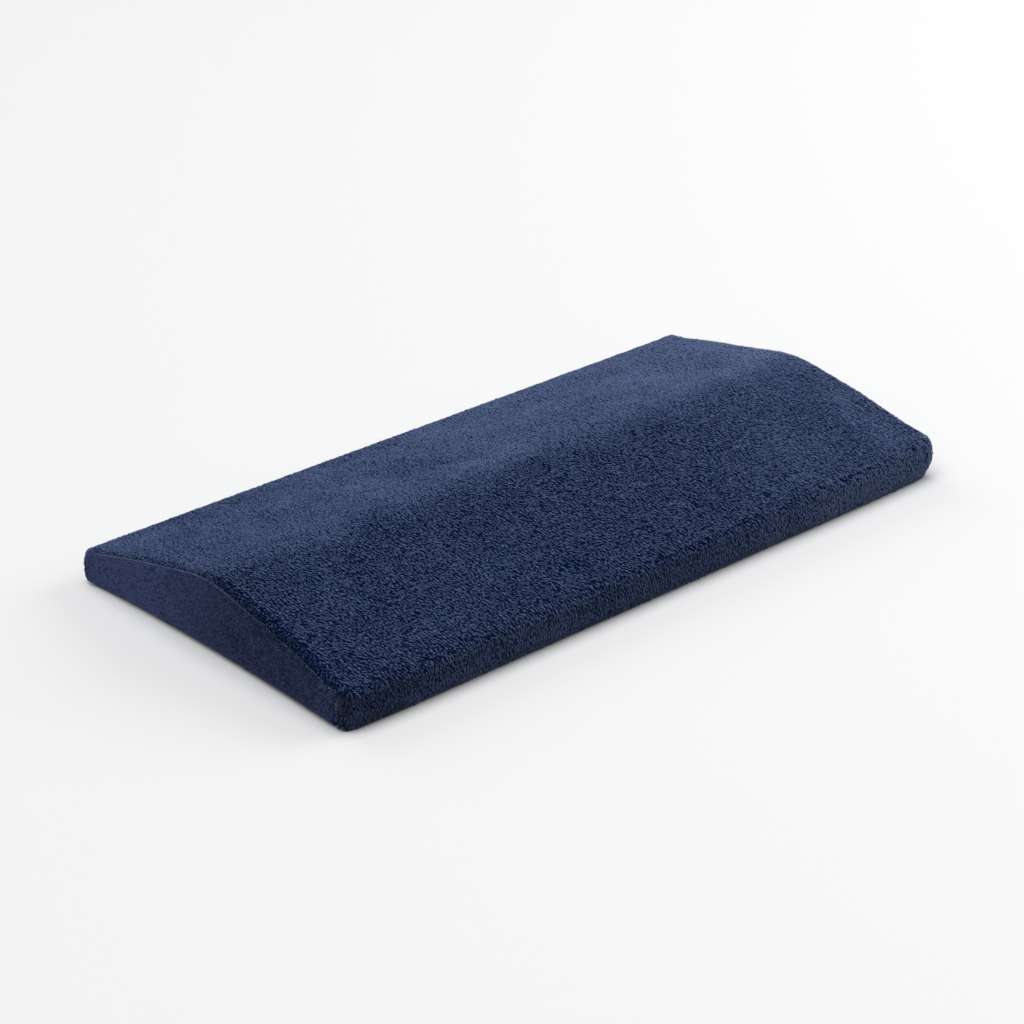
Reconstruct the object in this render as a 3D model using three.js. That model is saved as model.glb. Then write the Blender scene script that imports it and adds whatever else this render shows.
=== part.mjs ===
// Lumbar wedge pillow, lying on its flat base: a foam filling in a short-pile plush cover.
// One plush panel goes round the foam as base, front wall, front slope, back slope and back wall,
// and a smooth cloth panel closes each end.
// Millimetres. X runs along the pillow, Y from the front wall to the back wall, Z up.
// The origin is on the floor, under the middle of the bounding box.

import * as THREE from 'three';

// Overall size. The two wall heights and the ridge heights are where the flat sides would meet
// before their edges are rounded.
const LENGTH = 600;
const DEPTH = 306;
const FRONT_WALL_HEIGHT = 34;
const BACK_WALL_HEIGHT = 28.5;
const RIDGE_MEETING_HEIGHT = { left: 66, right: 63 };
const RIDGE_Y = -6;

// The cover pulls each end in by this much, half way between the front and back corners.
const END_DRAW_IN = 4;

// The five sides in order round the cross-section.
// swell: how far the filling pushes the middle of the side out.
// ease: how far the side falls in close to the ends.
// wrap: how far the plush panel turns over onto the end, which is also the radius of that rim.
// steps: facets along the side.
const SIDES = {
  base: { swell: 0, ease: 0, wrap: 1.5, steps: 21 },
  frontWall: { swell: 1, ease: 3, wrap: 12, steps: 3 },
  frontSlope: { swell: 2, ease: 0.5, wrap: 7, steps: 7 },
  backSlope: { swell: 0.9, ease: 0, wrap: 2, steps: 7 },
  backWall: { swell: 0.8, ease: 0, wrap: 4, steps: 3 },
};

// The rounded edge at the end of each side, in the same order.
const EDGES = {
  base: { radius: 6, steps: 4 },
  frontWall: { radius: 12, steps: 5 },
  frontSlope: { radius: 110, steps: 6 },
  backSlope: { radius: 7, steps: 4 },
  backWall: { radius: 6, steps: 4 },
};

// The end panels sit in shallow recesses, clear of the plush by the seam gap.
const PANEL_THICKNESS = 3;
const SEAM_GAP = 0.3;
const SMALLEST_RADIUS = 1;

// The panel's outer face, from its sewn rim to its swollen middle.
// inset: distance in from the sewn rim. sunk: depth below the end's own face, negative when proud.
const PANEL_FACE = [
  { inset: 0, sunk: 1 },
  { inset: 0.6, sunk: 0.4 },
  { inset: 2, sunk: 0 },
  { inset: 4, sunk: -0.4 },
  { inset: 7, sunk: -0.6 },
];

// How suddenly each change sets in towards an end: the higher the power, the closer to the end.
const EASE_POWER = 14;
const DRAW_IN_POWER = 3;
const SLACK_POWER = 4;

// The share of the swell that is lost at the very ends.
const END_SLACK = 0.2;

// Facets along the pillow.
const RIM_STEPS = 6;
const BODY_STEPS = 24;

const HALF_LENGTH = LENGTH / 2;
const HALF_DEPTH = DEPTH / 2;
const SIDE_NAMES = Object.keys(SIDES);
const WIDEST_WRAP = Math.max(...SIDE_NAMES.map((name) => SIDES[name].wrap));

// How close a station is to an end: 0 at mid length, 1 at the end itself.
function closeness(station) {
  return Math.abs(station) / HALF_LENGTH;
}

// The five corners of the cross-section at one station along the pillow, before insets and
// rounding. A corner belongs to the side that ends there. The walls' lines stand in by their
// swell, so that the swollen walls reach the stated depth.
function sharpCorners(station) {
  const along = (station + HALF_LENGTH) / LENGTH;
  const ridge = THREE.MathUtils.lerp(RIDGE_MEETING_HEIGHT.left, RIDGE_MEETING_HEIGHT.right, along);
  const front = -HALF_DEPTH + SIDES.frontWall.swell;
  const back = HALF_DEPTH - SIDES.backWall.swell;
  return {
    base: new THREE.Vector2(front, 0),
    frontWall: new THREE.Vector2(front, FRONT_WALL_HEIGHT),
    frontSlope: new THREE.Vector2(RIDGE_Y, ridge),
    backSlope: new THREE.Vector2(back, BACK_WALL_HEIGHT),
    backWall: new THREE.Vector2(back, 0),
  };
}

// Moves each side inwards by its inset and gives each side's line as a point, the direction round
// the section and the outward normal.
function sideLines(station, insets) {
  const corners = sharpCorners(station);
  return SIDE_NAMES.map((name, place) => {
    const before = SIDE_NAMES[(place + SIDE_NAMES.length - 1) % SIDE_NAMES.length];
    const along = corners[name].clone().sub(corners[before]).normalize();
    const outward = new THREE.Vector2(-along.y, along.x);
    const ease = SIDES[name].ease * closeness(station) ** EASE_POWER;
    const point = corners[name].clone().addScaledVector(outward, -insets[name] - ease);
    return { name, point, along, outward };
  });
}

function crossing(line, next) {
  const apart = next.point.clone().sub(line.point);
  const distance = apart.cross(next.along) / line.along.cross(next.along);
  return line.point.clone().addScaledVector(line.along, distance);
}

// The rounded edge between a side and the next, from where it leaves the one line to where it
// meets the other.
function roundedEdge(line, next, inset) {
  const { radius, steps } = EDGES[line.name];
  const bend = Math.acos(line.along.dot(next.along));
  const tightened = Math.max(radius - inset, SMALLEST_RADIUS);
  const reach = tightened * Math.tan(bend / 2);
  const start = crossing(line, next).addScaledVector(line.along, -reach);
  const centre = start.clone().addScaledVector(line.outward, -tightened);
  const points = [];
  for (let step = 0; step <= steps; step += 1) {
    const spoke = start.clone().sub(centre);
    points.push(spoke.rotateAround(new THREE.Vector2(), (-bend * step) / steps).add(centre));
  }
  return points;
}

// One closed ring of points round the pillow, as Y and Z.
function section(station, insets) {
  const lines = sideLines(station, insets);
  const edges = lines.map((line, place) => {
    const next = lines[(place + 1) % lines.length];
    return roundedEdge(line, next, Math.max(insets[line.name], insets[next.name]));
  });
  const fullness = 1 - END_SLACK * closeness(station) ** SLACK_POWER;
  const ring = [];
  lines.forEach((line, place) => {
    const { swell, steps } = SIDES[line.name];
    const start = edges[(place + lines.length - 1) % lines.length].at(-1);
    const end = edges[place][0];
    for (let step = 1; step < steps; step += 1) {
      const share = step / steps;
      const push = swell * fullness * Math.sin(Math.PI * share) ** 2;
      ring.push(start.clone().lerp(end, share).addScaledVector(line.outward, push));
    }
    ring.push(...edges[place]);
  });
  return ring;
}

// The same ring in space. Towards the ends it follows the line of the drawn-in cover.
function ringAt(station, insets) {
  return section(station, insets).map((point) => {
    const middle = 1 - (point.x / HALF_DEPTH) ** 2;
    const drawn = Math.sign(station) * END_DRAW_IN * middle * closeness(station) ** DRAW_IN_POWER;
    return new THREE.Vector3(station - drawn, point.x, point.y);
  });
}

function insetsFor(insetOf) {
  return Object.fromEntries(SIDE_NAMES.map((name) => [name, insetOf(SIDES[name])]));
}

// How far a side has turned in at a depth below the end's face, round a rim of its own radius.
function rimInset(side, depth) {
  const left = Math.max(0, 1 - depth / side.wrap);
  return side.wrap * (1 - Math.sqrt(1 - left * left));
}

// Joins rings into one closed body. The rings run from -X to +X, and the two outer rings are
// closed by strips between their upper and lower points.
function loft(rings) {
  const count = rings[0].length;
  const index = [];
  const at = (ring, place) => ring * count + ((place + count) % count);
  for (let ring = 0; ring < rings.length - 1; ring += 1) {
    for (let place = 0; place < count; place += 1) {
      index.push(at(ring, place), at(ring + 1, place), at(ring, place + 1));
      index.push(at(ring + 1, place), at(ring + 1, place + 1), at(ring, place + 1));
    }
  }
  const last = rings.length - 1;
  const frontMiddle = SIDES.base.steps + EDGES.base.steps + (SIDES.frontWall.steps - 1) / 2;
  for (let step = 0; step < count / 2 - 1; step += 1) {
    const up = frontMiddle + step;
    const down = frontMiddle - 1 - step;
    index.push(at(0, down), at(0, up), at(0, up + 1));
    index.push(at(0, down), at(0, up + 1), at(0, down - 1));
    index.push(at(last, up), at(last, down), at(last, up + 1));
    index.push(at(last, up + 1), at(last, down), at(last, down - 1));
  }
  const geometry = new THREE.BufferGeometry();
  geometry.setAttribute('position', new THREE.Float32BufferAttribute(
    rings.flat().flatMap((point) => point.toArray()), 3));
  geometry.setIndex(index);
  geometry.computeVertexNormals();
  return geometry;
}

// The foam in its plush panel, with a recess in each end for the end panel.
function plushWedgeGeometry() {
  const seam = insetsFor((side) => side.wrap);
  const leftEnd = [
    ringAt(-HALF_LENGTH + PANEL_THICKNESS + SEAM_GAP, seam),
  ];
  const rightEnd = [
    ringAt(HALF_LENGTH - PANEL_THICKNESS - SEAM_GAP, seam),
  ];
  for (let step = 0; step <= RIM_STEPS; step += 1) {
    const turn = (step / RIM_STEPS) * (Math.PI / 2);
    const depth = WIDEST_WRAP * (1 - Math.cos(turn));
    const insets = insetsFor((side) => rimInset(side, depth));
    leftEnd.push(ringAt(-HALF_LENGTH + depth, insets));
    rightEnd.push(ringAt(HALF_LENGTH - depth, insets));
  }
  const flush = insetsFor(() => 0);
  const body = [];
  const reach = HALF_LENGTH - WIDEST_WRAP;
  for (let step = 1; step < BODY_STEPS; step += 1) {
    body.push(ringAt(THREE.MathUtils.lerp(-reach, reach, step / BODY_STEPS), flush));
  }
  return loft([...leftEnd, ...body, ...rightEnd.reverse()]);
}

// One end panel. end is -1 for the left and 1 for the right.
function endPanelGeometry(end) {
  const rings = PANEL_FACE.map(({ inset, sunk }) => {
    const insets = insetsFor((side) => side.wrap + SEAM_GAP + inset);
    return ringAt(end * (HALF_LENGTH - sunk), insets);
  });
  const back = insetsFor((side) => side.wrap + SEAM_GAP);
  rings.unshift(ringAt(end * (HALF_LENGTH - PANEL_THICKNESS), back));
  return loft(end > 0 ? rings : rings.reverse());
}

const plush = new THREE.MeshStandardMaterial({
  name: 'navy plush', color: 0x24334f, roughness: 0.95, metalness: 0,
});
const endCloth = new THREE.MeshStandardMaterial({
  name: 'navy suede cloth', color: 0x2b3250, roughness: 0.9, metalness: 0,
});

function piece(name, geometry, material) {
  const mesh = new THREE.Mesh(geometry, material);
  mesh.name = name;
  return mesh;
}

const pillow = new THREE.Group();
pillow.name = 'lumbar_wedge_pillow';
pillow.add(
  piece('plush_wedge', plushWedgeGeometry(), plush),
  piece('end_panel_left', endPanelGeometry(-1), endCloth.clone()),
  piece('end_panel_right', endPanelGeometry(1), endCloth.clone()),
);

export default pillow;
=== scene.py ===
from math import cos, pi, radians, sin, tan

import bpy
import numpy as np
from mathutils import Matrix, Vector, kdtree, noise
from mathutils.bvhtree import BVHTree


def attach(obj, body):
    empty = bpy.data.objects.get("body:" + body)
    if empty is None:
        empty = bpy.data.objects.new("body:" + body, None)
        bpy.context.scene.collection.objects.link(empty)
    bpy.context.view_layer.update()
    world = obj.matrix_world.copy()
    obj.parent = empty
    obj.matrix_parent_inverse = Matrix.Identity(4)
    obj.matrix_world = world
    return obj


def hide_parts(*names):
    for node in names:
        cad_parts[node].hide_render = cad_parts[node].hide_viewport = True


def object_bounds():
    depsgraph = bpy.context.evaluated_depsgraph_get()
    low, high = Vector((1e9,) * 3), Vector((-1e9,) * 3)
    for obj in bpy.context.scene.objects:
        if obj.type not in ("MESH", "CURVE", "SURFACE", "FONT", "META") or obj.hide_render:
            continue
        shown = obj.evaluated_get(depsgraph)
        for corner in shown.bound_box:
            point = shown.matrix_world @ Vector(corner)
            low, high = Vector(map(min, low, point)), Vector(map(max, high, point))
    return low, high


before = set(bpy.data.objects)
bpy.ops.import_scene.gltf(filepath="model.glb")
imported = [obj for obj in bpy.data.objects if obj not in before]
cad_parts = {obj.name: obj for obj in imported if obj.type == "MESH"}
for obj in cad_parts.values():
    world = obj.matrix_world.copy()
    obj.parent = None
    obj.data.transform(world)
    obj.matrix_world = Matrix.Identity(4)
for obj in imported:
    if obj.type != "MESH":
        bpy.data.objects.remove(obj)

cad_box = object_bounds()
scene = bpy.context.scene


# The camera looks down on the pillow's left end and front side from about two metres away.
# Its long lens keeps the far edges almost parallel to the near ones.
CAMERA_PLACE = (-1.30593, -1.42077, 0.96355)
CAMERA_TURN = (radians(63.8), 0, radians(-42.25))
FILM_WIDTH = 36
LENS_LENGTH = 99.57

bpy.ops.object.select_all(action="DESELECT")
bpy.ops.object.camera_add(location=CAMERA_PLACE, rotation=CAMERA_TURN)
camera = bpy.context.object
camera.name = "camera"
camera.data.sensor_width = FILM_WIDTH
camera.data.lens = LENS_LENGTH
scene.camera = camera


# The photographer's white table and lights. Wide soft lights stand overhead, to the right, behind
# and to the left, and the white room fills in, so the pillow has a faint grey shadow all round.
FLOOR_SIZE = 14
FLOOR_COLOUR = (0.8, 0.8, 0.803, 1)
ROOM_COLOUR = (0.97, 0.985, 1, 1)
ROOM_STRENGTH = 0.18
LIGHT_WIDTH = radians(40)
SUN_DISTANCE = 2

# tilt: degrees down from straight overhead. turn: degrees round from the pillow's right end.
SUNS = {
    "overhead_light": {"tilt": 0, "turn": 0, "strength": 1.42},
    "rear_light": {"tilt": 58, "turn": 90, "strength": 0.6},
    "left_light": {"tilt": 30, "turn": 180, "strength": 0.98},
}
NEAR_LIGHT = {"tilt": 58, "turn": -22, "strength": 1.15, "distance": 4.0}


class Tone:
    """One output of a material's nodes. Python's operators on it add the matching Math nodes."""

    def __init__(self, tree, socket=None):
        self.tree = tree
        self.socket = socket

    def node(self, kind, settings=None, values=None, output=0):
        """Adds any other node: its settings come first, then the values or links of its sockets."""
        made = self.tree.nodes.new(kind)
        for name, setting in (settings or {}).items():
            if name == "stops":
                stops = made.color_ramp.elements
                while len(stops) < len(setting):
                    stops.new(0.5)
                for stop, (position, colour) in zip(stops, setting):
                    stop.position = position
                    stop.color = colour
            else:
                setattr(made, name, setting)
        for name, value in (values or {}).items():
            if isinstance(value, Tone):
                self.tree.links.new(value.socket, made.inputs[name])
            else:
                made.inputs[name].default_value = value
        return Tone(self.tree, made.outputs[output])

    def maths(self, operation, first, second):
        return self.node("ShaderNodeMath", {"operation": operation}, {0: first, 1: second})

    def __add__(self, other):
        return self.maths("ADD", self, other)

    def __sub__(self, other):
        return self.maths("SUBTRACT", self, other)

    def __rsub__(self, other):
        return self.maths("SUBTRACT", other, self)

    def __mul__(self, other):
        return self.maths("MULTIPLY", self, other)

    __radd__ = __add__
    __rmul__ = __mul__


def new_finish(name):
    """A new material, with a Tone to build its nodes from."""
    finish = bpy.data.materials.new(name)
    finish.use_nodes = True
    finish.node_tree.nodes.remove(finish.node_tree.nodes["Principled BSDF"])
    return finish, Tone(finish.node_tree)


def wear(tones, shader):
    """Makes the shader the surface of its material."""
    tones.tree.links.new(shader.socket, tones.tree.nodes["Material Output"].inputs["Surface"])


bpy.ops.mesh.primitive_plane_add(size=FLOOR_SIZE)
floor = bpy.context.object
floor.name = "floor"
table_top, tones = new_finish("white_table_top")
wear(tones, tones.node("ShaderNodeBsdfPrincipled", values={
    "Base Color": FLOOR_COLOUR,
    "Roughness": 0.9,
    "Specular IOR Level": 0.1,
}))
floor.data.materials.append(table_top)

room = bpy.data.worlds.new("white_room")
room.use_nodes = True
room.node_tree.nodes["Background"].inputs["Color"].default_value = ROOM_COLOUR
room.node_tree.nodes["Background"].inputs["Strength"].default_value = ROOM_STRENGTH
scene.world = room
scene.view_settings.view_transform = "Standard"


def light_from(tilt, turn, distance, kind, name):
    """A light of one kind that looks at the middle of the table."""
    tilt, turn = radians(tilt), radians(turn)
    towards = Vector((sin(tilt) * cos(turn), sin(tilt) * sin(turn), cos(tilt)))
    bpy.ops.object.light_add(
        type=kind, location=distance * towards, rotation=towards.to_track_quat("Z", "Y").to_euler(),
    )
    bpy.context.object.name = name
    return bpy.context.object.data


for name, sun in SUNS.items():
    lamp = light_from(sun["tilt"], sun["turn"], SUN_DISTANCE, "SUN", name)
    lamp.energy = sun["strength"]
    lamp.angle = LIGHT_WIDTH
distance = NEAR_LIGHT["distance"]
lamp = light_from(NEAR_LIGHT["tilt"], NEAR_LIGHT["turn"], distance, "AREA", "right_light")
lamp.shape = "DISK"
lamp.size = 2 * distance * tan(LIGHT_WIDTH / 2)
lamp.energy = NEAR_LIGHT["strength"] * pi * distance ** 2


# The filled cover: a block of memory foam cut to the wedge, inside a cover of navy plush that is
# sewn round it. The foam presses the knitted ground of the plush out between its seams. The pile
# stands on this ground and hides it, so the ground lies deeper than the pillow's outline.
MERGE_DISTANCE = 0.00002
GROUND_DEPTH = 0.0013
GROUND_VOXEL = 0.006
START_DEPTH = 0.003
PRESSED_OUT = 0.0008
FOAM_PRESSURE = 4
CLOTH_QUALITY = 5
CLOTH_FRAMES = 20
SEAM_RECESS = 0.0033
SEAM_EDGE = 0.0003
PANEL_BACK_EDGE = 0.001
BASE_HEIGHT = 0.0025
BASE_BLEND = 0.010
FLOOR_GAP = 0.0002
ROUNDING = 0.000002
BASE_SOFTNESS = 0.010
BASE_DRAW = 0.0034
SQUARE_CORNER = 0.05
FLAT_BASE = {"end": 0.290, "side": 0.136}

# How far a normal looks along the pillow, or down, on the ends and on the base.
END_FACING = 0.8
BASE_FACING = -0.7
FLAT_FACING = -0.999

# How softly a change sets in on either side of the middle, along the pillow and across it.
MIDDLE_BLEND = 0.02

# How far the back right corner is pulled out, from which height up, and how far round it.
CORNER_PULL = (0.0036, 0, 0.0007)
PULLED_ABOVE = 0.02
CORNER_REACH = 0.012

# How far the back left and the front right corner swell, and between the table and which height.
CORNER_SWELL = 0.0013
CORNER_HEIGHT = 0.028
CORNER_EASE = 0.009
SWOLLEN_CORNERS = ((-1, 1), (1, -1))

# How far the front wall is tucked in, at heights from the table up.
TUCK = {
    "height": (0.0, 0.0005, 0.0018, 0.0037, 0.0060, 0.0127, 0.0190, 0.0260),
    "inward": (0.0, 0.0019, 0.0032, 0.0038, 0.0036, 0.0019, 0.0005, 0.0),
}

# How far the cover stands out at the right end, at places from the front to the back.
END_REACH = 0.03
RIGHT_END = {
    "place": (-0.153, -0.138, -0.118, -0.060, -0.030, 0.0, 0.050, 0.100, 0.153),
    "shift": (0.0032, 0.0010, -0.0010, 0.0022, 0.0026, 0.0012, 0.0005, 0.0026, 0.0026),
}
UNEVENNESS = 0.0006
UNEVEN_PATCH = 0.09
# The ground is the plush's own knit, painted near black as painted shade for the deep gaps of the
# pile.
GROUND_COLOURS = {"dark": (0.0, 0.003, 0.020, 1), "light": (0.002, 0.008, 0.040, 1)}


def numbers(items, name, width):
    """One property of all vertices or faces of a mesh, a row each."""
    found = np.empty(len(items) * width, np.float32)
    items.foreach_get(name, found)
    return found.reshape(-1, width)


def put_at(mesh, places):
    mesh.vertices.foreach_set("co", places.astype(np.float32).ravel())
    mesh.update()


def only(piece):
    """Selects one piece alone."""
    bpy.ops.object.select_all(action="DESELECT")
    piece.select_set(True)
    bpy.context.view_layer.objects.active = piece


def copy_of(node_name, piece_name):
    """A new piece with a copy of a solid's mesh, its loose triangles merged."""
    copy = bpy.data.objects.new(piece_name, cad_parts[node_name].data.copy())
    scene.collection.objects.link(copy)
    copy.data.materials.clear()
    only(copy)
    bpy.ops.object.mode_set(mode="EDIT")
    bpy.ops.mesh.select_all(action="SELECT")
    bpy.ops.mesh.remove_doubles(threshold=MERGE_DISTANCE)
    bpy.ops.mesh.select_mode(type="FACE")
    bpy.ops.mesh.select_all(action="DESELECT")
    bpy.ops.object.mode_set(mode="OBJECT")
    return copy


def end_outline(node_name):
    """The corners of an end panel's outline as Y and Z, in order, and the outward normal of the
    edge that starts at each."""
    corners = numbers(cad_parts[node_name].data.vertices, "co", 3)[:, 1:]
    corners = np.unique(np.round(corners, 6), axis=0)
    hull = []
    for chain in (corners, corners[::-1]):
        side = []
        for corner in chain:
            while len(side) > 1:
                one, two = side[-1] - side[-2], corner - side[-1]
                if one[0] * two[1] - one[1] * two[0] > 0:
                    break
                side.pop()
            side.append(corner)
        hull += side[:-1]
    hull = np.array(hull)
    edges = np.roll(hull, -1, axis=0) - hull
    outward = np.stack([edges[:, 1], -edges[:, 0]], 1)
    return hull, outward / np.linalg.norm(outward, axis=1, keepdims=True)


def outside_panel(points):
    """How far each point is outside the nearer end panel's outline, seen along the pillow.
    Inside it is negative."""
    found = []
    for node_name in ("end_panel_left", "end_panel_right"):
        hull, outward = end_outline(node_name)
        reach = (hull * outward).sum(1)
        found.append((points[:, 1:] @ outward.T - reach).max(1))
    return np.where(points[:, 0] < 0, *found)


def facing_ends(normals):
    return np.abs(normals[:, 0]) > END_FACING


def settled(points):
    """The points moved with the cover: its ends turn under at the base, its front wall is tucked
    in, its right end isn't quite straight, and two of its corners swell."""
    points = points.copy()
    low = np.clip(1 - points[:, 2] / BASE_SOFTNESS, 0, 1) ** 2
    low *= np.clip((cad_box[1].y - points[:, 1]) / SQUARE_CORNER, 0, 1)
    points[:, 0] -= BASE_DRAW * low * np.tanh(points[:, 0] / MIDDLE_BLEND)
    near_front = np.clip(-points[:, 1] / MIDDLE_BLEND, 0, 1)
    points[:, 1] += near_front * np.interp(points[:, 2], TUCK["height"], TUCK["inward"])
    near_end = np.clip((points[:, 0] - cad_box[1].x) / END_REACH + 1, 0, 1)
    points[:, 0] += near_end * np.interp(points[:, 1], RIGHT_END["place"], RIGHT_END["shift"])
    below_top = np.clip((CORNER_HEIGHT - points[:, 2]) / CORNER_EASE, 0, 1)
    swollen = np.clip(points[:, 2] / CORNER_EASE, 0, 1) * below_top
    for way in np.array(SWOLLEN_CORNERS):
        from_corner = np.linalg.norm(points[:, :2] - way * cad_box[1].xy, axis=1)
        near_corner = np.exp(-(from_corner / CORNER_REACH) ** 2)
        points[:, :2] += (swollen * near_corner * CORNER_SWELL)[:, None] * way
    return points


# The wedge's outer form, with the recesses for the end panels filled.
form = copy_of("plush_wedge", "outer_form")
centres = numbers(form.data.polygons, "center", 3)
recess_floors = facing_ends(numbers(form.data.polygons, "normal", 3))
recess_floors &= outside_panel(centres) < -SEAM_EDGE
for end in (-1, 1):
    form.data.polygons.foreach_set("select", recess_floors & (np.sign(centres[:, 0]) == end))
    bpy.ops.object.mode_set(mode="EDIT")
    bpy.ops.transform.translate(value=(end * SEAM_RECESS, 0, 0))
    bpy.ops.mesh.select_all(action="DESELECT")
    bpy.ops.object.mode_set(mode="OBJECT")

# The back right corner pokes out where it is sewn.
places = settled(numbers(form.data.vertices, "co", 3))
from_corner = np.hypot(places[:, :1] - cad_box[1].x, places[:, 1:2] - cad_box[1].y)
near_corner = np.exp(-(from_corner / CORNER_REACH) ** 2) * (places[:, 2:] > PULLED_ABOVE)
put_at(form.data, places + near_corner * CORNER_PULL)

cover = bpy.data.objects.new("plush_cover", form.data.copy())
scene.collection.objects.link(cover)
only(cover)
blend = cover.modifiers.new("voxels", "REMESH")
blend.mode = "VOXEL"
blend.voxel_size = GROUND_VOXEL
bpy.ops.object.modifier_apply(modifier=blend.name)
bpy.ops.object.mode_set(mode="EDIT")
bpy.ops.mesh.select_all(action="SELECT")
bpy.ops.transform.shrink_fatten(value=-START_DEPTH)
bpy.ops.object.mode_set(mode="OBJECT")

pressed = np.zeros(len(cover.data.vertices))
# The base and the two ends lie still, and the pressure of the foam swells the rest.
slack = numbers(cover.data.vertices, "co", 3)
facing = numbers(cover.data.vertices, "normal", 3)
held = cover.vertex_groups.new(name="held")
still = (facing[:, 2] < BASE_FACING) | facing_ends(facing)
held.add(np.flatnonzero(still).tolist(), 1, "REPLACE")
cloth = cover.modifiers.new("foam_pressure", "CLOTH")
cloth.settings.quality = CLOTH_QUALITY
cloth.settings.use_pressure = True
cloth.settings.uniform_pressure_force = FOAM_PRESSURE
cloth.settings.effector_weights.gravity = 0
cloth.settings.vertex_group_mass = held.name
cloth.point_cache.frame_end = CLOTH_FRAMES
for moment in range(1, CLOTH_FRAMES + 1):
    scene.frame_set(moment)
only(cover)
bpy.ops.object.modifier_apply(modifier=cloth.name)
pressed = np.linalg.norm(numbers(cover.data.vertices, "co", 3) - slack, axis=1)
put_at(cover.data, slack)
scene.frame_set(1)

# The swollen ground is laid back under the outer form, at the depth of the pile.
swell = cover.vertex_groups.new(name="swell")
for point, amount in enumerate(np.tanh(pressed / PRESSED_OUT)):
    swell.add([point], float(amount), "REPLACE")
rounder = cover.modifiers.new("rounder", "SUBSURF")
rounder.levels = 1
rounder.render_levels = 1
under = cover.modifiers.new("under_the_form", "SHRINKWRAP")
under.target = form
under.wrap_method = "NEAREST_SURFACEPOINT"
under.wrap_mode = "ABOVE_SURFACE"
under.offset = -GROUND_DEPTH
pressing = cover.modifiers.new("pressed_out", "DISPLACE")
pressing.vertex_group = swell.name
pressing.mid_level = 0
pressing.strength = PRESSED_OUT
patches = bpy.data.textures.new("foam_unevenness", "CLOUDS")
patches.noise_scale = UNEVEN_PATCH
uneven = cover.modifiers.new("uneven", "DISPLACE")
uneven.texture = patches
uneven.texture_coords = "LOCAL"
uneven.strength = UNEVENNESS
for step in (rounder, under, pressing, uneven):
    bpy.ops.object.modifier_apply(modifier=step.name)
bpy.data.textures.remove(patches)
cover.vertex_groups.clear()

# The base is pressed flat, and the cover lies back behind each end panel.
places = numbers(cover.data.vertices, "co", 3)
facing = numbers(cover.data.vertices, "normal", 3)
lowered = np.clip((BASE_HEIGHT + BASE_BLEND - places[:, 2]) / BASE_BLEND, 0, 1)
from_edge = (FLAT_BASE["end"], FLAT_BASE["side"]) - np.abs(places[:, :2])
lowered *= np.clip(1 + from_edge.min(1) / BASE_SOFTNESS, 0, 1)
places[:, 2] = np.maximum(places[:, 2] - lowered * BASE_HEIGHT, FLOOR_GAP)
behind = facing_ends(facing) & (outside_panel(places) < -PANEL_BACK_EDGE)
places[:, 0] -= np.sign(places[:, 0]) * behind * (SEAM_RECESS - GROUND_DEPTH)
put_at(cover.data, places)
lying = numbers(cover.data.polygons, "normal", 3)[:, 2] < FLAT_FACING
lying &= numbers(cover.data.polygons, "center", 3)[:, 2] < FLOOR_GAP + ROUNDING
cover.data.polygons.foreach_set("select", lying)
only(cover)
bpy.ops.object.mode_set(mode="EDIT")
bpy.ops.mesh.dissolve_faces()
bpy.ops.object.mode_set(mode="OBJECT")
bpy.ops.object.shade_smooth()

# The near-black ground is painted shade for the gaps in the pile, with the knit's fine noise.
ground, tones = new_finish("knitted_ground")
where = tones.node("ShaderNodeTexCoord", output=3)
knit = tones.node("ShaderNodeTexNoise", values={"Vector": where, "Scale": 900.0, "Detail": 2.0})
colour = tones.node("ShaderNodeMix", {"data_type": "RGBA"}, {
    0: knit,
    6: GROUND_COLOURS["dark"],
    7: GROUND_COLOURS["light"],
}, output=2)
relief = tones.node("ShaderNodeBump", values={"Strength": 0.6, "Distance": 0.0004, "Height": knit})
wear(tones, tones.node("ShaderNodeBsdfPrincipled", values={
    "Base Color": colour,
    "Normal": relief,
    "Roughness": 0.95,
    "Specular IOR Level": 0.0,
}))
cover.data.materials.append(ground)

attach(cover, "root")
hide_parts("plush_wedge")


# The end panels: smooth suede-like cloth, one in each end, cut to the wedge's outline.
# Each is sewn in all round with its edge turned inwards, so its rim is a fine roll.
RIM_WIDTH = 0.0015
RIM_ROLL = 0.0006
UPWARD_GAIN = 3
SUBDIVISIONS = 2
NAP_TURN = radians(-39)
NAP_LENGTH = 0.55

# scale: how fine each pattern of the cloth is. detail: its finer layers. share: its strength.
# slanted: whether it lies along the nap.
MOTTLING = {
    "blotch": {"scale": 60.0, "detail": 3.0, "share": 0.6, "slanted": False},
    "nap": {"scale": 200.0, "detail": 3.0, "share": 1.8, "slanted": True},
    "fibre": {"scale": 560.0, "detail": 2.0, "share": 5.0, "slanted": True},
}

# The panel gets lighter or darker by each share on the way from one place to the other. The places
# are distances from the middle towards the back. The first step is painted shade: lighter towards
# the back, darker towards the front under the overhanging pile. The second makes it lighter near
# the front corner, and the third makes it darker along its back edge.
PANEL_SHADE_STEPS = (
    {"from": -0.045, "to": 0.11, "share": 0.60},
    {"from": -0.105, "to": -0.135, "share": 0.13},
    {"from": 0.141, "to": 0.150, "share": -0.35},
)
LIGHTEST = 0.22
SUEDE_COLOURS = {"dark": (0.005, 0.008, 0.019, 1), "light": (0.047, 0.061, 0.143, 1)}

# A painted highlight on the rim's upward roll, for the light from above that it catches. It sets in
# between the two places where it starts, past the overhanging pile in front, and fades between the
# two where it ends. Its nap makes it patchy.
RIM_HIGHLIGHT_COLOUR = (0.100, 0.132, 0.270, 1)
HIGHLIGHT_STARTS = {"from": -0.07, "to": 0.0}
HIGHLIGHT_ENDS = {"from": 0.150, "to": 0.132}
HIGHLIGHT_PATCHES = {"share": 1.6, "least": 0.1}


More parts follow.
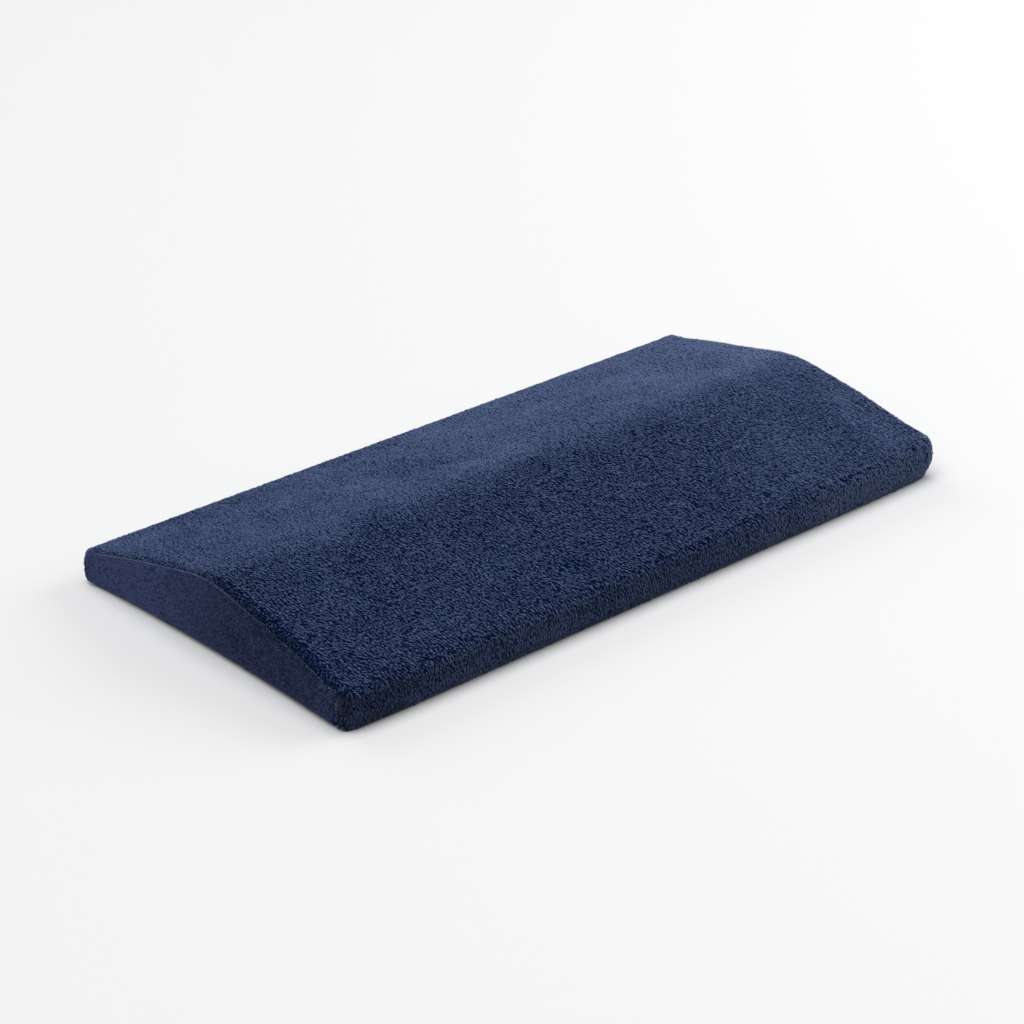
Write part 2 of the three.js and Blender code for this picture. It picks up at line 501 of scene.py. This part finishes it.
def facing_up(normals):
    return np.clip(normals[:, 2] * UPWARD_GAIN, 0, 1)


suede, tones = new_finish("navy_suede_cloth")
where = tones.node("ShaderNodeTexCoord", output=3)
slanted = tones.node("ShaderNodeMapping", {"vector_type": "TEXTURE"}, {
    "Vector": where,
    "Rotation": (NAP_TURN, 0, 0),
    "Scale": (1, 1, NAP_LENGTH),
})
along = tones.node("ShaderNodeSeparateXYZ", values={"Vector": where}, output=1)


def change(limits):
    """A soft change along the panel, from 0 at one distance from the middle to 1 at another."""
    return tones.node("ShaderNodeMapRange", {"interpolation_type": "SMOOTHSTEP"}, {
        "Value": along, "From Min": limits["from"], "From Max": limits["to"],
    })


shades = {}
for name, look in MOTTLING.items():
    shades[name] = tones.node("ShaderNodeTexNoise", values={
        "Vector": slanted if look["slanted"] else where,
        "Scale": look["scale"],
        "Detail": look["detail"],
    })
mottled = sum((shades[name] - 0.5) * look["share"] for name, look in MOTTLING.items())
# Painted shade along the panel, added to its colour.
pile_lie_and_painted_shade = sum(change(limits) * limits["share"] for limits in PANEL_SHADE_STEPS)
colour = tones.node("ShaderNodeMix", {"data_type": "RGBA", "clamp_factor": True}, {
    0: mottled * (pile_lie_and_painted_shade * 0.5 + 0.5) + pile_lie_and_painted_shade + LIGHTEST,
    6: SUEDE_COLOURS["dark"],
    7: SUEDE_COLOURS["light"],
}, output=2)
# The rim's painted highlight, where its roll faces up.
rim = tones.node("ShaderNodeAttribute", {"attribute_name": "rim"}, output=2)
patchy = shades["nap"] * HIGHLIGHT_PATCHES["share"] + HIGHLIGHT_PATCHES["least"]
colour = tones.node("ShaderNodeMix", {"data_type": "RGBA", "clamp_factor": True}, {
    0: rim * change(HIGHLIGHT_STARTS) * change(HIGHLIGHT_ENDS) * patchy,
    6: colour,
    7: RIM_HIGHLIGHT_COLOUR,
}, output=2)
relief = tones.node("ShaderNodeBump", values={
    "Strength": 0.8, "Distance": 0.0004, "Height": shades["fibre"] * 0.5 + shades["nap"],
})
wear(tones, tones.node("ShaderNodeBsdfPrincipled", values={
    "Base Color": colour,
    "Normal": relief,
    "Roughness": 0.9,
    "Specular IOR Level": 0.0,
    "Sheen Weight": 0.2,
    "Sheen Roughness": 0.4,
    "Sheen Tint": (0.4, 0.5, 1.0, 1),
}))

for end in ("left", "right"):
    panel = copy_of("end_panel_" + end, "suede_end_" + end)
    only(panel)
    bpy.ops.object.mode_set(mode="EDIT")
    bpy.ops.mesh.select_all(action="SELECT")
    bpy.ops.mesh.tris_convert_to_quads()
    bpy.ops.object.mode_set(mode="OBJECT")
    rounder = panel.modifiers.new("rounder", "SUBSURF")
    rounder.levels = SUBDIVISIONS
    rounder.render_levels = SUBDIVISIONS
    bpy.ops.object.modifier_apply(modifier=rounder.name)
    bpy.ops.object.shade_smooth()
    places = numbers(panel.data.vertices, "co", 3)
    rolled = np.clip(1 + outside_panel(places) / RIM_WIDTH, 0, 1)
    rolled *= facing_up(numbers(panel.data.vertices, "normal", 3))
    places[:, 0] += np.sign(places[:, 0]) * rolled * RIM_ROLL
    put_at(panel.data, settled(places))
    # The upward roll's share is also the share of its painted highlight.
    highlight_share = panel.data.attributes.new("rim", "FLOAT", "POINT")
    highlight_share.data.foreach_set("value", rolled.astype(np.float32))
    panel.data.materials.append(suede)
    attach(panel, "root")
    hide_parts("end_panel_" + end)


# The pile: short soft tufts of polyester that stand on the knitted ground, close together.
# It is brushed from the back over the ridge and down the front wall, and its tufts cling together
# in small locks. The pile opens where the cover bends, and falls over the end panels' seams.
TUFTS_WANTED = 225_000
DRAWS_PER_TUFT = 5
CELL_SHARE = 0.985
CELLS_ACROSS = 4096
TUFT_LENGTH = 0.0031
TUFT_WIDTH = {"smooth": 0.0008, "open": 0.0005}
TUFT_ARCH = 0.09
TUFT_SHOULDER = 0.5
FOOT_DEPTH = 0.0003
LEAN = {"smooth": 3.0, "open": 1.9, "wall": 2.2, "bend": 0.9}
LOCK_SIZE = 0.0019
LOCK_STRETCH = 1.4
LOCK_PULL = {"smooth": 0.4, "open": 1.0}
LOCK_ALONG = 0.7
LOCK_TURN = 0.2
LOCK_LENGTH = {"least": 0.9, "more": 0.2}
PIT_WIDTH = 0.3
PIT_SIZE = 0.004
SIDEWAYS = 0.24
SWIRL = 0.4
SWIRL_SIZE = 0.02
FINE_SWIRL = 0.6

# How much single tufts differ from the pile around them.
UNLIKE = {"lean": 0.15, "way": 0.12, "roll": 0.4, "length": (0.85, 1.1)}

# The share that is lost of a tuft's pull to its lock, of the pits and of its length.
PULL_LOST = {"end": 0.5, "wall": 0.4}
PITS_LOST_ON_WALL = 0.6
LENGTH_LOST = {"pit": 0.35, "end": 0.4}

# Noises that would otherwise follow each other are read at places this far apart.
NOISE_SHIFT = {"swirl": 5, "pit": 9}

rng = np.random.default_rng(7)


def smooth_step(low, high, value):
    share = np.clip((value - low) / (high - low), 0, 1)
    return share * share * (3 - 2 * share)


def zone(name, value):
    """How far a place of the pile belongs to a zone, from 0 to 1."""
    return smooth_step(*ZONES[name], value)


def unit(vectors):
    return vectors / np.maximum(np.linalg.norm(vectors, axis=1, keepdims=True), 1e-9)


def between(pair, share):
    return pair["smooth"] + (pair["open"] - pair["smooth"]) * share


def soft_noise(points, size):
    """Smooth unevenness between about -1 and 1 at each point, with patches of the given size."""
    return np.array([noise.noise(Vector(point)) for point in points / size])[:, None]


# Where each zone sets in and where it is complete.
ZONES = {
    # Places along the pillow, across it and up.
    "right": (0.05, 0.3),
    "left": (0.0, -0.25),
    "wall_right": (0.02, 0.22),
    "wall_left": (-0.20, -0.29),
    "front": (0.015, -0.03),
    "before_ridge": (0.02, -0.02),
    "wall_top": (0.008, 0.024),
    # How squarely the cover faces that way, up to 1.
    "wall": (0.85, 0.98),
    "front_bend": (0.35, 0.55),
    "back_wall": (0.7, 0.9),
    "turning_over": (0.2, 0.6),
    "seam": (0.35, 0.85),
    "upward": (0.4, 0.7),
    # A soft noise.
    "pitted": (-0.5, 0.1),
}

# The outer form under the pile, without its base and the places of the end panels.
UNDERSIDE = -0.6
BARE_EDGE = 0.0001
BARE_FOOT = 0.002
outer = form.data
outer.calc_loop_triangles()
corners = np.empty(len(outer.loop_triangles) * 3, np.int32)
outer.loop_triangles.foreach_get("vertices", corners)
corners = corners.reshape(-1, 3)
places = numbers(outer.vertices, "co", 3)
facing = numbers(outer.vertices, "normal", 3)
sides = places[corners]
crossed = np.cross(sides[:, 1] - sides[:, 0], sides[:, 2] - sides[:, 0])
areas = np.linalg.norm(crossed, axis=1) / 2
faced = unit(crossed)
middle = sides.mean(1)
bare = (faced[:, 2] < UNDERSIDE) | (facing_ends(faced) & (outside_panel(middle) < -BARE_EDGE))
bare |= facing_ends(faced) & (middle[:, 2] < BARE_FOOT)
areas = np.where(bare, 0, areas)

# Roots are drawn at random, and only one is kept in each small cell.
cell = np.sqrt(areas.sum() / TUFTS_WANTED) * CELL_SHARE
drawn = rng.choice(len(areas), DRAWS_PER_TUFT * TUFTS_WANTED, p=areas / areas.sum())
mix = rng.random((len(drawn), 2))
mix = np.where(mix.sum(1, keepdims=True) > 1, 1 - mix, mix)
weights = np.stack([1 - mix.sum(1), mix[:, 0], mix[:, 1]], 1)[:, :, None]
skin = (places[corners[drawn]] * weights).sum(1)
normals = unit((facing[corners[drawn]] * weights).sum(1))
slots = np.floor(skin / cell).astype(np.int64)
cell_numbers = slots @ np.array([1, CELLS_ACROSS, CELLS_ACROSS ** 2])
_, kept = np.unique(cell_numbers, return_index=True)
kept = kept[rng.permutation(len(kept))][:TUFTS_WANTED]
skin, normals = skin[kept], normals[kept]

# The pile follows the swell of the ground, and each foot stands in the ground.
SWELL_LIMITS = (-0.0003, 0.0008)
ground_tree = BVHTree.FromObject(cover, bpy.context.evaluated_depsgraph_get())
feet = np.array([ground_tree.find_nearest(Vector(point))[0] for point in skin])
depths = ((skin - feet) * normals).sum(1, keepdims=True)
roots = skin - normals * (GROUND_DEPTH - np.clip(GROUND_DEPTH - depths, *SWELL_LIMITS))
form_tree = BVHTree.FromObject(form, bpy.context.evaluated_depsgraph_get())
bpy.data.objects.remove(form)

# How open the pile is, from 0 where it lies smooth to 1 where its locks stand apart.
OPENNESS = {"back": 0.22, "front": 0.78, "patches": 0.25}
OPENNESS_LOST = {"right": 0.5, "left": 0.2}
OPEN_PATCH = 0.035
BACK_WALL_ENDS = 0.7
x, y, z = roots[:, :1], roots[:, 1:2], roots[:, 2:]
section = unit(normals * np.array([0, 1, 1]))
endward = np.abs(normals[:, :1])
on_front = zone("front", y)
on_wall = zone("wall", -section[:, 1:2])
to_right = zone("right", x)
to_left = zone("left", x)
opened = OPENNESS["back"] + OPENNESS["front"] * on_front
opened = opened * (1 - OPENNESS_LOST["right"] * to_right) * (1 - OPENNESS_LOST["left"] * to_left)
opened = np.clip(opened + OPENNESS["patches"] * soft_noise(roots, OPEN_PATCH), 0, 1)
front_bend = zone("front_bend", -section[:, 1:2]) * (1 - on_wall)
over_end = zone("turning_over", endward) * zone("before_ridge", y) * zone("upward", section[:, 2:])
at_seam = zone("seam", endward)
over_end = np.maximum(over_end, BACK_WALL_ENDS * at_seam * zone("back_wall", section[:, 1:2]))
bend = np.maximum(front_bend, over_end)

# The lie of the pile: along the brushing with soft swirls, and over the front slope's two ends.
pile_lie_and_painted_shade = np.stack([SIDEWAYS * on_front[:, 0], -section[:, 2], section[:, 1]], 1)
pile_lie_and_painted_shade = unit(pile_lie_and_painted_shade - (pile_lie_and_painted_shade * normals).sum(1, keepdims=True) * normals)
fine_swirl = soft_noise(roots + NOISE_SHIFT["swirl"], SWIRL_SIZE / 3)
swirl = SWIRL * (soft_noise(roots, SWIRL_SIZE) + FINE_SWIRL * fine_swirl)
pile_lie_and_painted_shade = pile_lie_and_painted_shade * np.cos(swirl) + np.cross(normals, pile_lie_and_painted_shade) * np.sin(swirl)
over = np.stack([np.sign(roots[:, 0]), np.zeros(len(roots)), -np.ones(len(roots))], 1)
over = unit(over - (over * normals).sum(1, keepdims=True) * normals)
lie = unit(pile_lie_and_painted_shade * (1 - over_end) + over * over_end)

# Tufts are drawn towards the middle line of their lock, which is long in the way of the brushing.
stretched = roots / np.array([1, LOCK_STRETCH, LOCK_STRETCH])
locks_wanted = int(len(roots) * (cell / LOCK_SIZE) ** 2 / LOCK_STRETCH)
lock_seeds = rng.choice(len(roots), locks_wanted, replace=False)
tree = kdtree.KDTree(locks_wanted)
for number, seed in enumerate(lock_seeds):
    tree.insert(stretched[seed], number)
tree.balance()
nearest = [tree.find_n(spot, 2) for spot in stretched]
lock = np.array([first[1] for first, _ in nearest])
members = np.maximum(np.bincount(lock, minlength=locks_wanted), 1)[:, None]
middles = np.stack([np.bincount(lock, roots[:, axis], locks_wanted) for axis in range(3)], 1)
pull = (middles / members)[lock] - roots
pull -= LOCK_ALONG * (pull * lie).sum(1, keepdims=True) * lie
pulled = between(LOCK_PULL, opened) * (1 - PULL_LOST["end"] * over_end)
pull *= pulled * (1 - PULL_LOST["wall"] * on_wall)
lock_turn = rng.normal(0, LOCK_TURN, (locks_wanted, 3))[lock]
lock_tone = rng.random(locks_wanted)[lock][:, None]

# The pile sinks into pits here and there between two locks, and the tufts in them get painted
# shade.
edge_of_lock = np.array([second[2] - first[2] for first, second in nearest])[:, None] / LOCK_SIZE
pit = smooth_step(PIT_WIDTH, PIT_WIDTH / 4, edge_of_lock)
pitted = zone("pitted", soft_noise(roots + NOISE_SHIFT["pit"], PIT_SIZE))
pit *= pitted * opened * (1 - PITS_LOST_ON_WALL * on_wall)

# Each tuft is a slim closed leaf: a foot, two shoulders and a tip, with four faces between them.
# It bends with the cover, so that the pile keeps its depth over the edges.
lean = between(LEAN, opened)
lean = lean + (LEAN["wall"] - lean) * on_wall
lean = lean + (LEAN["bend"] - lean) * bend
lean = lean * rng.normal(1, UNLIKE["lean"], (len(roots), 1))
ways = unit(normals + lie * lean + lock_turn + rng.normal(0, UNLIKE["way"], roots.shape))
lengths = TUFT_LENGTH * rng.uniform(*UNLIKE["length"], (len(roots), 1))
lengths = lengths * (LOCK_LENGTH["least"] + LOCK_LENGTH["more"] * lock_tone)
lengths *= (1 - LENGTH_LOST["pit"] * pit) * (1 - LENGTH_LOST["end"] * over_end)
rises = lengths * (ways * normals).sum(1, keepdims=True)
ahead = [form_tree.find_nearest(Vector(spot)) for spot in skin + ways * lengths - normals * rises]
tips = np.array([spot for spot, _, _, _ in ahead])
tips += np.array([faced for _, faced, _, _ in ahead]) * (rises - GROUND_DEPTH) + pull
roll = rng.normal(0, UNLIKE["roll"], (len(roots), 1))
rolled = unit(np.cross(ways, normals) + normals * roll)
half_width = rolled * between(TUFT_WIDTH, opened) / 2
shoulders = roots + (tips - roots) * TUFT_SHOULDER + np.cross(rolled, ways) * lengths * TUFT_ARCH
points = np.stack([
    feet - normals * FOOT_DEPTH,
    shoulders + half_width,
    shoulders - half_width,
    tips,
], 1)
points[:, :, 2] = np.maximum(points[:, :, 2], FLOOR_GAP)
TUFT_FACES = np.array([[0, 1, 2], [2, 1, 3], [0, 3, 1], [0, 2, 3]])

# How light each tuft is. Most of these are shares of the range from the darkest to the lightest
# pile, and the pile also gets lighter along the pillow, by so much for each metre. Apart from the
# random spread of locks, tufts and patches, these are painted light and shade.
# The smooth back pile is painted lighter and the open front pile darker: painted sheen and light
# from behind on the back, and painted shade in the gaps of the open pile on the front.
BRIGHTNESS = {"smooth": 0.84, "open": 0.66}
TONE_LIMIT = 1.2
TONE_SPREAD = {"lock": 0.2, "tuft": 0.12, "patches": 0.06}
TONE_PATCH = 0.012
# Painted light: lighter along the pillow towards the light at the right, and at the right of the
# front wall.
PAINTED_LIGHT = {"each_metre": 0.33, "wall_right": 0.28}
# Painted shade: in the pits, at the seams, on the front wall, under its top edge, at its left, and
# at the left of the back.
PAINTED_SHADE = {
    "pit": 0.95, "seam": 0.3, "wall": 0.08, "wall_top": 0.17, "wall_left": 0.25, "back_left": 0.12,
}
# A painted highlight on the back slope near the right end: its middle, reach and strength.
PAINTED_HIGHLIGHT = {"middle": (0.275, 0.028), "reach": (0.04, 0.02), "tone": 0.25}
tone = between(BRIGHTNESS, opened) + TONE_SPREAD["lock"] * (lock_tone - 0.5)
tone = tone + TONE_SPREAD["tuft"] * rng.standard_normal((len(roots), 1))
tone = tone + TONE_SPREAD["patches"] * soft_noise(roots, TONE_PATCH)
# Painted light along the pillow and at the right of the front wall; painted shade in the pits, at
# the seams, on the front wall and at the left of the back.
tone = tone + PAINTED_LIGHT["each_metre"] * x - PAINTED_SHADE["pit"] * pit - PAINTED_SHADE["seam"] * at_seam
tone = tone - on_wall * (PAINTED_SHADE["wall"] + PAINTED_SHADE["wall_top"] * zone("wall_top", z))
tone = tone - on_wall * PAINTED_SHADE["wall_left"] * zone("wall_left", x)
tone = tone + on_wall * PAINTED_LIGHT["wall_right"] * zone("wall_right", x)
tone = tone - PAINTED_SHADE["back_left"] * to_left * (1 - on_front)
# The painted highlight near the right end of the back slope.
from_highlight = (roots[:, :2] - PAINTED_HIGHLIGHT["middle"]) / PAINTED_HIGHLIGHT["reach"]
tone = tone + PAINTED_HIGHLIGHT["tone"] * np.exp(-(from_highlight ** 2).sum(1, keepdims=True))
tone = np.clip(tone, 0, TONE_LIMIT)[:, 0]

# The front wall is painted greyer than the rest: a painted sheen of its pile, seen from the side.
WALL_SHEEN = 0.26
SHEEN_COLOUR = (0.075, 0.079, 0.088, 1)
dust = WALL_SHEEN * on_wall[:, 0]

# How far up its tuft each of the four points is: the foot, the shoulders and the tip.
TO_TIP = (0, 0.45, 0.45, 1)

# On the pile's own map each tuft has a small square, its upper faces in the middle.
TUFT_MAP = np.array([
    [[0.06, 0.5], [0.5, 0.94], [0.5, 0.06]],
    [[0.5, 0.06], [0.5, 0.94], [0.94, 0.5]],
    [[0.04, 0.7], [0.3, 0.96], [0.04, 0.96]],
    [[0.7, 0.04], [0.96, 0.04], [0.96, 0.3]],
])

# From the roots, past the shoulders, to the tips. A dark tuft stops short on this range. The
# near-black roots and darker shoulders are painted shade, deep in the pile.
DARKEST = 0.15
RANGE = 1.15
PILE_COLOURS = (
    (0.0, (0.0, 0.004, 0.030, 1)),
    (0.35, (0.078, 0.117, 0.242, 1)),
    (1.0, (0.212, 0.282, 0.485, 1)),
)

pile, tones = new_finish("navy_pile")
to_tip = tones.node("ShaderNodeAttribute", {"attribute_name": "to_tip"}, output=2)
own_tone = tones.node("ShaderNodeAttribute", {"attribute_name": "tone"}, output=2)
sheen_share = tones.node("ShaderNodeAttribute", {"attribute_name": "dust"}, output=2)
colour = tones.node("ShaderNodeValToRGB", {"stops": PILE_COLOURS}, {
    0: to_tip * (DARKEST + RANGE * own_tone),
})
# The front wall's painted sheen: a grey mixed into the pile's colour.
colour = tones.node("ShaderNodeMix", {"data_type": "RGBA"}, {
    0: sheen_share,
    6: colour,
    7: SHEEN_COLOUR,
}, output=2)
wear(tones, tones.node("ShaderNodeBsdfPrincipled", values={
    "Base Color": colour,
    "Roughness": 0.85,
    "Specular IOR Level": 0.0,
    "Sheen Weight": 0.05,
    "Sheen Roughness": 0.35,
    "Sheen Tint": (0.5, 0.62, 1.0, 1),
}))

# The tufts are shared out over the stretches of the cover.
STRETCHES = {
    "pile_back_edge": {"from": 0.110, "to": 1},
    "pile_back_slope": {"from": 0.065, "to": 0.110},
    "pile_behind_ridge": {"from": 0.018, "to": 0.065},
    "pile_ridge": {"from": -0.032, "to": 0.018},
    "pile_front_slope": {"from": -0.082, "to": -0.032},
    "pile_front_edge": {"from": -0.128, "to": -0.082},
    "pile_front_wall": {"from": -1, "to": -0.128},
}
for name, limits in STRETCHES.items():
    chosen = (y[:, 0] >= limits["from"]) & (y[:, 0] < limits["to"])
    count = int(chosen.sum())
    faces = (TUFT_FACES[None] + 4 * np.arange(count)[:, None, None]).reshape(-1)
    mesh = bpy.data.meshes.new(name)
    mesh.vertices.add(4 * count)
    mesh.loops.add(12 * count)
    mesh.polygons.add(4 * count)
    mesh.vertices.foreach_set("co", points[chosen].astype(np.float32).ravel())
    mesh.loops.foreach_set("vertex_index", faces.astype(np.int32))
    mesh.polygons.foreach_set("loop_start", np.arange(0, 12 * count, 3, dtype=np.int32))
    mesh.update(calc_edges=True)
    tipness = mesh.attributes.new("to_tip", "FLOAT", "POINT")
    tipness.data.foreach_set("value", np.tile(TO_TIP, count).astype(np.float32))
    for looks, values in (("tone", tone), ("dust", dust)):
        worn = mesh.attributes.new(looks, "FLOAT", "POINT")
        worn.data.foreach_set("value", np.repeat(values[chosen], 4).astype(np.float32))
    row = int(np.ceil(np.sqrt(count)))
    squares = np.stack([np.arange(count) % row, np.arange(count) // row], 1)
    spots = (squares[:, None, None] + TUFT_MAP[None]) / row
    layer = mesh.uv_layers.new(name="OFBake")
    layer.uv.foreach_set("vector", spots.astype(np.float32).ravel())
    mesh.shade_smooth()
    mesh.materials.append(pile)
    stretch = bpy.data.objects.new(name, mesh)
    scene.collection.objects.link(stretch)
    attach(stretch, "root")
